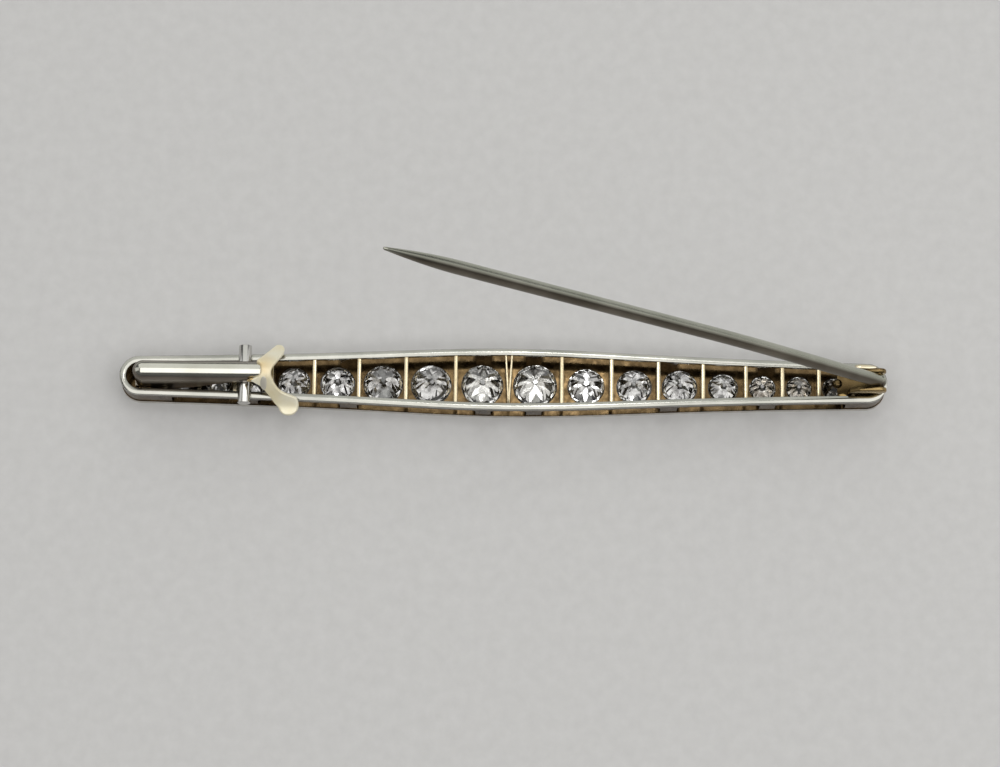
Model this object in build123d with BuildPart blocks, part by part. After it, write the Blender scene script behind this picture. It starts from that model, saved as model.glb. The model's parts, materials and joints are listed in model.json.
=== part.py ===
"""A bar brooch lying face down: a long bow-sided frame of stone cells, a hinged pin and a hinged cover catch.

The frame is X along the bar, Y across it and +Z out of its back, where the pin is. The origin is at the
middle of the face that carries the stones, which is the plane the brooch rests on. All sizes are in mm.
"""

import os
from math import cos, radians, sin

from build123d import *

os.makedirs("parts", exist_ok=True)

# Outline of the bar, seen from the back
half_length = 32.05
end_radius = 1.65
middle_x = 0.45  # the widest point, where the two largest stones meet
middle_half_width = 2.62
crest_reach = 4.3  # how far the full width carries on each side of the middle
crest_half_width = 2.55
shoulder_reach = 12.0
shoulder_half_width = 2.22
end_slope = 0.02  # how much the long sides still narrow where they meet the round ends

# Heights, from the face up to the back rim
face_lip_height = 0.12
face_lip_width = 0.24
plate_top = 0.6
rim_bottom = 2.5
rim_top = 3.0
rim_width = 0.56
rim_rounding = 0.2
wall_inset = 0.06
wall_thickness = 0.35
window_bottom = 0.62
window_top = 2.05
window_corner = 0.3
window_spans = [(-1.5, 1.5), (2.75, 12.7), (14.1, 21.0), (22.3, 28.2)]  # from the middle outwards

# Cells and stones, from the middle outwards
bar_distances = [4.43, 8.58, 12.5, 16.23, 19.8, 22.85, 25.9, 28.8]
bar_thickness = 0.25
bar_top = 2.82
low_bar_tops = {"left_8": 1.15, "left_7": 1.9, "right_8": 2.15}  # under the catch and the hinge plate
stone_diameters_left = [3.5, 3.4, 3.3, 2.9, 2.7, 2.3, 2.15, 2.0]
stone_diameters_right = [3.66, 3.1, 2.95, 2.95, 2.5, 2.2, 2.15, 2.0]
girdle_height = 0.64
table_height = 0.04
table_share = 0.5
culet_share = 0.1
pavilion_slope = 0.84  # depth below the girdle as a share of the radius
girdle_share = 0.03
seat_gap = 0.02

# Pin and its hinge
pivot_x = 31.3
pivot_z = 3.68
knuckle_radius = 0.62
knuckle_half_width = 0.56
ear_radius = 0.6
ear_thickness = 0.27
ear_gap = 0.05
ear_front_x = 28.7
ear_back_x = 30.75
ear_shoulder_height = 0.95
ear_nose_height = 1.5
rivet_radius = 0.25
running_clearance = 0.03
seat_clearance = 0.005
rivet_head_radius = 0.4
rivet_head_thickness = 0.14
hinge_plate_front_x = 27.9
hinge_plate_bottom = 2.15
hinge_plate_top = 2.6
hinge_plate_half_width = 0.95
stop_bead_radius = 0.42
stop_bead_z = 2.5
pin_radius = 0.55
pin_length = 54.6
pin_point_length = 4.2
pin_point_radius = 0.1
pin_point_rounding = 0.06
pin_start_angle = 44.7  # degrees above the bar, in the open position
pin_end_angle = 41.4
pin_bend_distance = 16.0
pin_bend_radius = 470.0

# Catch
cross_bar_x = -21.55
cross_bar_z = 3.45
cross_bar_radius = 0.54
cross_bar_length = 4.95
cross_bar_rounding = 0.1
cover_axis_z = 4.47
cover_radius = 0.84
cover_thickness = 0.2
cover_end_x = -30.8
cover_mouth_x = -20.3
cover_pivot_x = -29.95
cover_pivot_z = 1.9
heel_radius = 0.85
skirt_low_x = -29.6
skirt_mid = (-25.2, 2.25)
skirt_high = (-22.6, 4.08)
cover_rivet_radius = 0.22
cover_rivet_half_length = 1.2
lug_inner_y = 0.9
lug_half_length = 0.5
lug_top = 2.4
thumb_thickness = 0.36
thumb_crown_z = 5.33
thumb_crown_half_width = 0.62
thumb_foot = (2.1, 3.32)
thumb_toe = (3.7, 2.9)
thumb_bend_radius = 0.45
thumb_length = 4.0
spring_thickness = 0.12
spring_half_width = 0.4
spring_top = 0.99
spring_end_x = -30.9
spring_foot_x = -29.15
spring_foot_length = 0.6


def outline(inset):
    """The bar's outline as a face, drawn a set distance inside its outer edge."""
    end_x = half_length - end_radius
    reach = end_radius - inset
    points = [
        (-end_x, reach),
        (middle_x - shoulder_reach, shoulder_half_width - inset),
        (middle_x - crest_reach, crest_half_width - inset),
        (middle_x, middle_half_width - inset),
        (middle_x + crest_reach, crest_half_width - inset),
        (middle_x + shoulder_reach, shoulder_half_width - inset),
        (end_x, reach),
    ]
    with BuildSketch(mode=Mode.PRIVATE) as shape:
        with BuildLine():
            far_side = Spline(points, tangents=[(1, end_slope), (1, -end_slope)])
            mirror(far_side, about=Plane.XZ)
            ThreePointArc((-end_x, reach), (-end_x - reach, 0), (-end_x, -reach))
            ThreePointArc((end_x, reach), (end_x + reach, 0), (end_x, -reach))
        make_face()
    return shape.sketch


def save(piece, name):
    """Label a finished sub-part and write it as its own STEP file."""
    piece.label = name
    export_step(piece, f"parts/{name}.step")


# ---------------------------------------------------------------- stones and their cells
def cell_centres(side):
    """Middle x of each cell on one side (+1 right, -1 left), from the middle outwards."""
    stops = [0] + bar_distances
    return [middle_x + side * (near + far) / 2 for near, far in zip(stops, stops[1:])]


stones = []
for side, side_name, diameters in ((-1, "left", stone_diameters_left), (1, "right", stone_diameters_right)):
    for number, (x, diameter) in enumerate(zip(cell_centres(side), diameters), start=1):
        stones.append((f"diamond_{side_name}_{number}", x, diameter / 2))

for name, x, radius in stones:
    girdle_half = girdle_share * radius
    culet_z = girdle_height + pavilion_slope * radius
    with BuildPart() as stone:
        with BuildSketch(Plane.XZ.shift_origin((x, 0, 0))) as half_section:
            Polygon(
                (0, table_height),
                (table_share * radius, table_height),
                (radius, girdle_height - girdle_half),
                (radius, girdle_height + girdle_half),
                (culet_share * radius, culet_z),
                (0, culet_z),
                align=None,
            )
        revolve(axis=Axis((x, 0, 0), (0, 0, 1)))
    save(stone.part, name)

with BuildPart() as front_plate:
    with BuildSketch() as plate_edge:
        add(outline(0))
    extrude(amount=plate_top)
    with BuildSketch() as sunk_field:
        add(outline(face_lip_width))
    extrude(amount=face_lip_height, mode=Mode.SUBTRACT)
    for name, x, radius in stones:
        with Locations((x, 0, plate_top)):
            Hole(radius + seat_gap, depth=plate_top)
save(front_plate.part, "front_plate")


def cell_bar(x, top, name):
    """One upright strip between two stones, from wall to wall, narrower where it passes inside the rim."""
    with BuildPart() as strip:
        for inset, low, high in (
            (wall_inset + wall_thickness, plate_top, min(top, rim_bottom)),
            (rim_width, rim_bottom, top),
        ):
            if high > low:
                with BuildSketch(Plane.XY.offset(low)):
                    add(outline(inset))
                    with Locations((x, 0)):
                        Rectangle(bar_thickness, 2 * middle_half_width, mode=Mode.INTERSECT)
                extrude(amount=high - low)
    save(strip.part, name)


cell_bar(middle_x, bar_top, "cell_bar_middle")
for side, side_name in ((-1, "left"), (1, "right")):
    for number, distance in enumerate(bar_distances, start=1):
        bar_name = f"{side_name}_{number}"
        cell_bar(middle_x + side * distance, low_bar_tops.get(bar_name, bar_top), f"cell_bar_{bar_name}")

# ---------------------------------------------------------------- frame
with BuildPart() as gallery_wall:
    with BuildSketch(Plane.XY.offset(plate_top)) as wall_section:
        add(outline(wall_inset))
        add(outline(wall_inset + wall_thickness), mode=Mode.SUBTRACT)
    extrude(amount=rim_bottom - plate_top)
    with BuildSketch(Plane.XZ) as windows:
        window_height = window_top - window_bottom
        for start, end in window_spans:
            for side in (-1, 1) if start > 0 else (1,):
                with Locations((middle_x + side * (start + end) / 2, (window_bottom + window_top) / 2)):
                    RectangleRounded(end - start, window_height, window_corner)
    extrude(amount=2 * middle_half_width, both=True, mode=Mode.SUBTRACT)
save(gallery_wall.part, "gallery_wall")

with BuildPart() as back_rim:
    with BuildSketch(Plane.XY.offset(rim_bottom)) as rim_section:
        add(outline(0))
        add(outline(rim_width), mode=Mode.SUBTRACT)
    extrude(amount=rim_top - rim_bottom)
    fillet(back_rim.edges().group_by(Axis.Z)[-1], radius=rim_rounding)
    with BuildSketch(Plane.XZ) as cross_bar_seat:
        with Locations((cross_bar_x, cross_bar_z)):
            Circle(cross_bar_radius + seat_clearance)
    extrude(amount=cross_bar_length / 2, both=True, mode=Mode.SUBTRACT)
save(back_rim.part, "back_rim")

# ---------------------------------------------------------------- pin hinge
with BuildPart() as hinge_plate:
    with BuildSketch(Plane.XY.offset(hinge_plate_bottom)) as hinge_plan:
        add(outline(rim_width + seat_clearance))
        with Locations(((hinge_plate_front_x + half_length) / 2, 0)):
            Rectangle(
                half_length - hinge_plate_front_x,
                2 * hinge_plate_half_width,
                mode=Mode.INTERSECT,
            )
    extrude(amount=hinge_plate_top - hinge_plate_bottom)
    with Locations((hinge_plate_front_x, 0, stop_bead_z)):
        Sphere(stop_bead_radius)
save(hinge_plate.part, "hinge_plate")

ear_inner_y = knuckle_half_width + ear_gap


def hinge_ear(inner_y, name):
    """One cheek of the pin's hinge, standing on the hinge plate, with its outer face away from the pin."""
    with BuildPart() as ear:
        with BuildSketch(Plane.XZ.offset(-inner_y)):
            Polygon(
                (ear_front_x, hinge_plate_top),
                (ear_back_x, hinge_plate_top),
                (ear_back_x, pivot_z - ear_radius),
                (pivot_x, pivot_z - ear_radius),
                (pivot_x, pivot_z + ear_radius),
                (ear_front_x + ear_nose_height / 2, hinge_plate_top + ear_nose_height),
                (ear_front_x, hinge_plate_top + ear_shoulder_height),
                align=None,
            )
            with Locations((pivot_x, pivot_z)):
                Circle(ear_radius)
                Circle(rivet_radius + seat_clearance, mode=Mode.SUBTRACT)
        extrude(amount=-ear_thickness if inner_y > 0 else ear_thickness)
    save(ear.part, name)


hinge_ear(ear_inner_y, "hinge_ear_far")
hinge_ear(-ear_inner_y, "hinge_ear_near")

with BuildPart() as hinge_rivet:
    ear_outer_y = ear_inner_y + ear_thickness + seat_clearance
    with BuildSketch(Plane.XZ) as rivet_section:
        with Locations((pivot_x, pivot_z)):
            Circle(rivet_radius)
    extrude(amount=ear_outer_y, both=True)
    for side in (-1, 1):
        with BuildSketch(Plane.XZ.offset(side * ear_outer_y)) as rivet_head:
            with Locations((pivot_x, pivot_z)):
                Circle(rivet_head_radius)
        extrude(amount=side * rivet_head_thickness)
    fillet(hinge_rivet.edges().group_by(Axis.Y)[0], radius=rivet_head_thickness / 2)
    fillet(hinge_rivet.edges().group_by(Axis.Y)[-1], radius=rivet_head_thickness / 2)
save(hinge_rivet.part, "hinge_rivet")

with BuildPart() as pin_knuckle:
    with BuildSketch(Plane.XZ) as knuckle_section:
        with Locations((pivot_x, pivot_z)):
            Circle(knuckle_radius)
            Circle(rivet_radius + running_clearance, mode=Mode.SUBTRACT)
    extrude(amount=knuckle_half_width, both=True)
save(pin_knuckle.part, "pin_knuckle")


def along_pin(start, distance, angle):
    """The point a distance from start towards the catch, at an angle in degrees above the bar."""
    return Vector(start) + distance * Vector(-cos(radians(angle)), 0, sin(radians(angle)))


pin_start = Vector(pivot_x, 0, pivot_z)
pin_bend = along_pin(pin_start, pin_bend_distance, pin_start_angle)
pin_shank_end = along_pin(pin_bend, pin_length - pin_bend_distance - pin_point_length, pin_end_angle)
pin_direction = (pin_shank_end - pin_bend).normalized()

with BuildPart() as pin_stem:
    with BuildLine() as pin_path:
        FilletPolyline(pin_start, pin_bend, pin_shank_end, radius=pin_bend_radius)
    with BuildSketch(Plane(pin_start, z_dir=pin_bend - pin_start)) as pin_section:
        Circle(pin_radius)
    sweep()
    point_plane = Plane(pin_shank_end, x_dir=(0, 1, 0), z_dir=pin_direction)
    with Locations(point_plane.location):
        Cone(
            pin_radius,
            pin_point_radius,
            pin_point_length,
            align=(Align.CENTER, Align.CENTER, Align.MIN),
        )
    fillet(pin_stem.faces().sort_by(Axis.Z)[-1].edges(), radius=pin_point_rounding)
    with BuildSketch(Plane.XZ) as knuckle_relief:
        with Locations((pivot_x, pivot_z)):
            Circle(knuckle_radius + seat_clearance)
    extrude(amount=knuckle_half_width, both=True, mode=Mode.SUBTRACT)
save(pin_stem.part, "pin_stem")

# ---------------------------------------------------------------- catch
with BuildPart() as cross_bar:
    with BuildSketch(Plane.XZ) as cross_bar_section:
        with Locations((cross_bar_x, cross_bar_z)):
            Circle(cross_bar_radius)
    extrude(amount=cross_bar_length / 2, both=True)
    fillet(cross_bar.edges().filter_by(GeomType.CIRCLE), radius=cross_bar_rounding)
save(cross_bar.part, "cross_bar")


def cover_form(radius, mouth_x):
    """A half-round tube along X with deep sides and a domed end, in the current part."""
    dome_x = cover_end_x + cover_radius
    with Locations((dome_x, 0, cover_axis_z)):
        Sphere(radius)
        Cylinder(
            radius,
            mouth_x - dome_x,
            rotation=(0, 90, 0),
            align=(Align.CENTER, Align.CENTER, Align.MIN),
        )
        Cylinder(radius, cover_axis_z, align=(Align.CENTER, Align.CENTER, Align.MAX))
        Box(
            mouth_x - dome_x,
            2 * radius,
            cover_axis_z,
            align=(Align.MIN, Align.CENTER, Align.MAX),
        )


with BuildPart() as cover_hollow:
    cover_form(cover_radius - cover_thickness, cover_mouth_x + 1)

with BuildPart() as catch_cover:
    cover_form(cover_radius, cover_mouth_x)
    add(cover_hollow.part, mode=Mode.SUBTRACT)
    with BuildSketch(Plane.XZ) as side_view:
        with BuildLine():
            heel_bottom = (skirt_low_x, cover_pivot_z - heel_radius)
            heel_back = (cover_end_x, cover_pivot_z)
            roof_z = cover_axis_z + 2 * cover_radius
            TangentArc(heel_bottom, heel_back, tangent=(-1, 0))
            end_roof = (cover_end_x, roof_z)
            mouth_roof = (cover_mouth_x, roof_z)
            mouth_bottom = (cover_mouth_x, skirt_high[1])
            Polyline(heel_back, end_roof, mouth_roof, mouth_bottom, skirt_high)
            ThreePointArc(skirt_high, skirt_mid, heel_bottom)
        make_face()
        with Locations((cover_pivot_x, cover_pivot_z)):
            Circle(cover_rivet_radius + running_clearance, mode=Mode.SUBTRACT)
    extrude(amount=2 * cover_radius, both=True, mode=Mode.INTERSECT)
save(catch_cover.part, "catch_cover")

with BuildPart() as thumb_piece:
    with BuildSketch(Plane.YZ.offset(cover_mouth_x)) as saddle_section:
        with BuildLine():
            FilletPolyline(
                (-thumb_toe[0], thumb_toe[1]),
                (-thumb_foot[0], thumb_foot[1]),
                (-thumb_crown_half_width, thumb_crown_z),
                (thumb_crown_half_width, thumb_crown_z),
                thumb_foot,
                thumb_toe,
                radius=thumb_bend_radius,
            )
        trace(line_width=thumb_thickness)
    extrude(amount=thumb_length)
    with BuildSketch(Plane.XY) as fishtail_plan:
        with BuildLine():
            far_root = (cover_mouth_x, 0.78)
            far_tip_back = (-19.3, 2.2)
            far_tip = (-18.78, 2.72)
            far_tip_front = (-18.28, 2.2)
            notch = (-19.14, -0.1)
            near_tip_front = (-16.9, -2.4)
            near_tip = (-17.3, -3.58)
            near_tip_back = (-18.5, -3.2)
            near_hollow = (-19.6, -1.75)
            near_root = (cover_mouth_x, -0.9)
            Line(far_root, far_tip_back)
            ThreePointArc(far_tip_back, far_tip, far_tip_front)
            ThreePointArc(far_tip_front, notch, near_tip_front)
            ThreePointArc(near_tip_front, near_tip, near_tip_back)
            ThreePointArc(near_tip_back, near_hollow, near_root)
            Line(near_root, far_root)
        make_face()
    extrude(amount=2 * cover_axis_z, mode=Mode.INTERSECT)
save(thumb_piece.part, "thumb_piece")

with BuildPart() as cover_rivet:
    with BuildSketch(Plane.XZ) as cover_rivet_section:
        with Locations((cover_pivot_x, cover_pivot_z)):
            Circle(cover_rivet_radius)
    extrude(amount=cover_rivet_half_length, both=True)
save(cover_rivet.part, "cover_rivet")


def cover_lug(side, name):
    """A bearing block between the wall and one side of the cover, which the cover's rivet is held in."""
    with BuildPart() as lug:
        with BuildSketch(Plane.XY.offset(plate_top)):
            add(outline(wall_inset + wall_thickness))
            with Locations((cover_pivot_x, side * (lug_inner_y + middle_half_width))):
                Rectangle(2 * lug_half_length, 2 * middle_half_width, mode=Mode.INTERSECT)
        extrude(amount=lug_top - plate_top)
        with BuildSketch(Plane.XZ):
            with Locations((cover_pivot_x, cover_pivot_z)):
                Circle(cover_rivet_radius + seat_clearance)
        extrude(amount=cover_rivet_half_length + seat_clearance, both=True, mode=Mode.SUBTRACT)
    save(lug.part, name)


cover_lug(1, "cover_lug_far")
cover_lug(-1, "cover_lug_near")

with BuildPart() as catch_spring:
    with BuildSketch(Plane.XZ) as spring_side:
        Polygon(
            (spring_end_x, spring_top - spring_thickness),
            (spring_foot_x, spring_top - spring_thickness),
            (spring_foot_x, plate_top),
            (spring_foot_x + spring_foot_length, plate_top),
            (spring_foot_x + spring_foot_length, plate_top + spring_thickness),
            (spring_foot_x + spring_thickness, plate_top + spring_thickness),
            (spring_foot_x + spring_thickness, spring_top),
            (spring_end_x, spring_top),
            align=None,
        )
    extrude(amount=spring_half_width, both=True)
save(catch_spring.part, "catch_spring")
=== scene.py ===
"""The looks of a bar brooch that lies face down with its pin open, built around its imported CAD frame.

The bar lies along X, its stones face down and its pin and catch are on top. Shapes are worked out in
millimetres and scaled to metres as each mesh is made.
"""

import json
import math
import random

import bmesh
import bpy
from mathutils import Matrix, Vector
from mathutils.bvhtree import BVHTree


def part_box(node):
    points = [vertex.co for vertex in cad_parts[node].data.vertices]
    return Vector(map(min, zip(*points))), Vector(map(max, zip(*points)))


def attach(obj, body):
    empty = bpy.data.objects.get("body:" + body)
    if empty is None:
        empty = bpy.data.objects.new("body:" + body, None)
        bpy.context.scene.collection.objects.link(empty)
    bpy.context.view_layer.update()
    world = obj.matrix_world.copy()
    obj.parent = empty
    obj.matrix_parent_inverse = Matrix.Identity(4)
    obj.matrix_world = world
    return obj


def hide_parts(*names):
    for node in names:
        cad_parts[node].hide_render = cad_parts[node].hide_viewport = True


MM = 0.001
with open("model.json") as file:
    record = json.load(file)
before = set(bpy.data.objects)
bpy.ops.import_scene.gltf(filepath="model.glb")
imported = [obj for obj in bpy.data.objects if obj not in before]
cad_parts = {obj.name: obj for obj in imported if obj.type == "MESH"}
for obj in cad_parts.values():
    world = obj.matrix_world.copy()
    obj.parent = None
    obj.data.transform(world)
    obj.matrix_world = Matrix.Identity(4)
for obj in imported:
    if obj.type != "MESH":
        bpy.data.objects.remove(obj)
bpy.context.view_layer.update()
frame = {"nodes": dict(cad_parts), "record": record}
nodes = frame["nodes"]
joints = {joint["name"]: joint for joint in frame["record"]["behaviour"]["joints"]}


# ---------------------------------------------------------------- small helpers
def corners(node):
    """A node's lowest and highest corners at rest, in millimetres."""
    low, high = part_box(node)
    return Vector(low) / MM, Vector(high) / MM


def pivot(joint):
    """Where a joint's axis is, in millimetres."""
    return Vector(joints[joint]["pos_m"]) / MM


def smoothstep(value):
    """A value held between 0 and 1, eased at both ends."""
    value = min(max(value, 0.0), 1.0)
    return value * value * (3 - 2 * value)


def between(low, high, share):
    """The number that is a share of the way from low to high."""
    return low + (high - low) * share


def from_bmesh(name, bm, smooth=True):
    """A new object from a mesh that was worked out in millimetres."""
    mesh = bpy.data.meshes.new(name)
    bmesh.ops.recalc_face_normals(bm, faces=bm.faces)
    bmesh.ops.scale(bm, vec=(MM, MM, MM), verts=bm.verts)
    bm.to_mesh(mesh)
    bm.free()
    mesh.polygons.foreach_set("use_smooth", [smooth] * len(mesh.polygons))
    piece = bpy.data.objects.new(name, mesh)
    bpy.context.scene.collection.objects.link(piece)
    return piece


def crisp(piece, angle=35):
    """Shade smoothly, but keep edges sharper than an angle in degrees."""
    bm = bmesh.new()
    bm.from_mesh(piece.data)
    for edge in bm.edges:
        edge.smooth = len(edge.link_faces) == 2 and edge.calc_face_angle(0) < math.radians(angle)
    bm.to_mesh(piece.data)
    bm.free()
    return piece


def dress(piece, material, body, slot, *replaced):
    """Give a piece its material and the body that it moves with, and hide the nodes that it stands for; the
    slot is not used.
    """
    piece.data.materials.clear()
    piece.data.materials.append(material)
    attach(piece, body)
    if replaced:
        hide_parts(*replaced)


def softened(points, radius, closed=True, steps=4):
    """A 2-D outline with its corners rounded off."""
    count = len(points)
    result = []
    for index, point in enumerate(points):
        if not closed and index in (0, count - 1):
            result.append(Vector(point))
            continue
        corner = Vector(point)
        before = Vector(points[index - 1]) - corner
        after = Vector(points[(index + 1) % count]) - corner
        reach = min(radius, 0.48 * before.length, 0.48 * after.length)
        start = corner + before.normalized() * reach
        end = corner + after.normalized() * reach
        for step in range(steps + 1):
            share = step / steps
            result.append(start.lerp(corner, share).lerp(corner.lerp(end, share), share))
    return result


def lathe(name, profile, centre, closed=False, turns=48):
    """A turned solid about an axis along Y: the profile is a line of (radius, y) points, or a closed ring."""
    bm = bmesh.new()
    points = [bm.verts.new((radius, y, 0)) for radius, y in profile]
    following = points[1:] + points[:1] if closed else points[1:]
    edges = [bm.edges.new(pair) for pair in zip(points, following)]
    whole = 2 * math.pi
    bmesh.ops.spin(
        bm, geom=points + edges, cent=(0, 0, 0), axis=(0, 1, 0), angle=whole, steps=turns, use_merge=True
    )
    bmesh.ops.remove_doubles(bm, verts=bm.verts, dist=1e-5)
    bmesh.ops.translate(bm, verts=bm.verts, vec=centre)
    return crisp(from_bmesh(name, bm))


def add_slab(bm, outline, low, high, place, bevel):
    """Add a bevelled plate: place turns (u, v, depth) into a point, and depth runs from low to high."""
    verts = [bm.verts.new(place(u, v, low)) for u, v in outline]
    face = bm.faces.new(verts)
    sides = bmesh.ops.extrude_face_region(bm, geom=[face])["geom"]
    top = [item for item in sides if isinstance(item, bmesh.types.BMVert)]
    shift = Vector(place(0, 0, high)) - Vector(place(0, 0, low))
    bmesh.ops.translate(bm, verts=top, vec=shift)
    rims = [edge for edge in bm.edges if edge.verts[0] in verts and edge.verts[1] in verts]
    rims += [edge for edge in bm.edges if edge.verts[0] in top and edge.verts[1] in top]
    bmesh.ops.bevel(bm, geom=rims, offset=bevel, segments=3, profile=0.5, affect="EDGES", clamp_overlap=True)


def loft(name, rings, smooth=True, closed=False):
    """A solid through rings of points, all of one count, with flat ends, or closed into one loop."""
    bm = bmesh.new()
    made = [[bm.verts.new(point) for point in ring] for ring in rings]
    for ring, following in zip(made, made[1:] + (made[:1] if closed else [])):
        count = len(ring)
        for index in range(count):
            after = (index + 1) % count
            bm.faces.new((ring[index], ring[after], following[after], following[index]))
    if not closed:
        bm.faces.new(made[0])
        bm.faces.new(made[-1])
    return from_bmesh(name, bm, smooth)


def add_grain(bm, centre, size, steps=1):
    """Add one small bead, flattened or not, at a place."""
    shape = Matrix.Translation(centre) @ Matrix.Diagonal((*size, 1))
    bmesh.ops.create_icosphere(bm, subdivisions=steps, radius=1, matrix=shape)


# ---------------------------------------------------------------- materials
FINE_RELIEF = 0.00002
ALONG_BAR = (0.1, 1, 1)
ACROSS_BAR = (1, 0.1, 1)


class Shader:
    """A Principled material with short ways to add the nodes that it needs."""

    def __init__(self, name):
        self.material = bpy.data.materials.new(name)
        self.material.use_nodes = True
        self.tree = self.material.node_tree
        self.tree.nodes.clear()
        output = self.tree.nodes.new("ShaderNodeOutputMaterial")
        self.surface = self.tree.nodes.new("ShaderNodeBsdfPrincipled")
        self.tree.links.new(self.surface.outputs["BSDF"], output.inputs["Surface"])
        self.coordinates = self.tree.nodes.new("ShaderNodeTexCoord").outputs["Object"]

    def set(self, **values):
        """Give sockets of the surface a plain value each."""
        for name, value in values.items():
            self.surface.inputs[name.replace("_", " ")].default_value = value

    def noise(self, scale, detail=4.0, stretch=(1, 1, 1), roughness=0.55):
        """Noise at a scale per metre, drawn out along the axes whose stretch is small."""
        mapping = self.tree.nodes.new("ShaderNodeMapping")
        mapping.inputs["Scale"].default_value = stretch
        noise = self.tree.nodes.new("ShaderNodeTexNoise")
        noise.inputs["Scale"].default_value = scale
        noise.inputs["Detail"].default_value = detail
        noise.inputs["Roughness"].default_value = roughness
        self.tree.links.new(self.coordinates, mapping.inputs["Vector"])
        self.tree.links.new(mapping.outputs["Vector"], noise.inputs["Vector"])
        return noise.outputs["Fac"]

    def ramp(self, factor, stops):
        """Colours by factor, from a list of (position, colour)."""
        ramp = self.tree.nodes.new("ShaderNodeValToRGB")
        elements = ramp.color_ramp.elements
        while len(elements) < len(stops):
            elements.new(0.5)
        for element, (position, colour) in zip(elements, stops):
            element.position = position
            element.color = (*colour, 1)
        self.tree.links.new(factor, ramp.inputs["Fac"])
        return ramp.outputs["Color"]

    def spread(self, factor, low, high, from_low=0.3, from_high=0.7):
        """A number from low to high, as the factor goes from from_low to from_high."""
        spread = self.tree.nodes.new("ShaderNodeMapRange")
        spread.inputs["From Min"].default_value = from_low
        spread.inputs["From Max"].default_value = from_high
        spread.inputs["To Min"].default_value = low
        spread.inputs["To Max"].default_value = high
        self.tree.links.new(factor, spread.inputs["Value"])
        return spread.outputs["Result"]

    def place(self, axis):
        """Where a point of the surface is along an axis, in metres."""
        split = self.tree.nodes.new("ShaderNodeSeparateXYZ")
        self.tree.links.new(self.coordinates, split.inputs["Vector"])
        return split.outputs[axis]

    def nearness(self, spot, reach):
        """1 at a spot, falling to 0 at a reach from it; both are in millimetres."""
        distance = self.tree.nodes.new("ShaderNodeVectorMath")
        distance.operation = "DISTANCE"
        distance.inputs[1].default_value = Vector(spot) * MM
        self.tree.links.new(self.coordinates, distance.inputs[0])
        return self.spread(distance.outputs["Value"], 1, 0, 0, reach * MM)

    def mix(self, factor, first, second):
        """The first colour where the factor is 0, and the second where it is 1."""
        mix = self.tree.nodes.new("ShaderNodeMix")
        mix.data_type = "RGBA"
        self.tree.links.new(factor, mix.inputs["Factor"])
        self.tree.links.new(first, mix.inputs["A"])
        self.tree.links.new(second, mix.inputs["B"])
        return next(output for output in mix.outputs if output.type == "RGBA")

    def link(self, output, name):
        """Feed a socket of the surface."""
        self.tree.links.new(output, self.surface.inputs[name])

    def bump(self, height, strength, distance=FINE_RELIEF):
        """Fine relief, a number of metres high at full strength."""
        bump = self.tree.nodes.new("ShaderNodeBump")
        bump.inputs["Strength"].default_value = strength
        bump.inputs["Distance"].default_value = distance
        self.tree.links.new(height, bump.inputs["Height"])
        self.link(bump.outputs["Normal"], "Normal")


def metal(name, dark, light, smooth, rough, grain_way=(1, 1, 1), marks=0.04, metallic=1.0):
    """A worked precious metal: colour that drifts a little, patchy polish and fine marks along one way."""
    shader = Shader(name)
    shader.set(Metallic=metallic)
    drift = shader.noise(260, detail=3)
    shader.link(shader.ramp(drift, [(0.3, dark), (0.7, light)]), "Base Color")
    wear = shader.noise(900, detail=5, stretch=grain_way)
    shader.link(shader.spread(wear, smooth, rough), "Roughness")
    fine = shader.noise(5200, detail=2, stretch=grain_way)
    shader.bump(fine, marks)
    return shader.material


def stained_and_shaded(name, below, above, low_height, high_height, smooth, rough):
    """Patchily stained metal that goes from one pair of colours to another between two heights in
    millimetres; its darker colours are partly painted shade.
    """
    shader = Shader(name)
    shader.set(Metallic=1.0)
    stain = shader.noise(1100, detail=5, roughness=0.6)
    lower = shader.ramp(stain, [(0.35, below[0]), (0.68, below[1])])
    upper = shader.ramp(stain, [(0.35, above[0]), (0.68, above[1])])
    rise = shader.spread(shader.place("Z"), 0, 1, low_height * MM, high_height * MM)
    shader.link(shader.mix(rise, lower, upper), "Base Color")
    wear = shader.noise(1500, detail=4)
    shader.link(shader.spread(wear, smooth, rough), "Roughness")
    fine = shader.noise(3800, detail=3)
    shader.bump(fine, 0.03)
    return shader.material


def metal_with_painted_shade(name, shaded_colours, unshaded_colours, axis, shaded_and_rough_below, unshaded_and_smooth_above, rough=0.32, smooth=0.13):
    """Metal painted lighter towards one side and darker and brownish on the other along an axis, as painted
    light and painted shade, and polished smoother on its lighter side.

    The two limits are places on the axis, in millimetres.
    """
    shader = Shader(name)
    shader.set(Metallic=1.0)
    drift = shader.noise(260, detail=3)
    lower = shader.ramp(drift, [(0.3, shaded_colours[0]), (0.7, shaded_colours[1])])
    upper = shader.ramp(drift, [(0.3, unshaded_colours[0]), (0.7, unshaded_colours[1])])
    share = shader.spread(shader.place(axis), 0, 1, shaded_and_rough_below * MM, unshaded_and_smooth_above * MM)
    shader.link(shader.mix(share, lower, upper), "Base Color")
    polish = shader.spread(shader.place(axis), rough, smooth, shaded_and_rough_below * MM, unshaded_and_smooth_above * MM)
    shader.link(polish, "Roughness")
    shader.bump(shader.noise(5200, detail=2, stretch=ALONG_BAR), 0.01)
    return shader.material


# Painted shade: the cover is dark and brownish below 4.98 mm high and bright above 5.14 mm, so its sides look
# shaded and its top lit.
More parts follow.
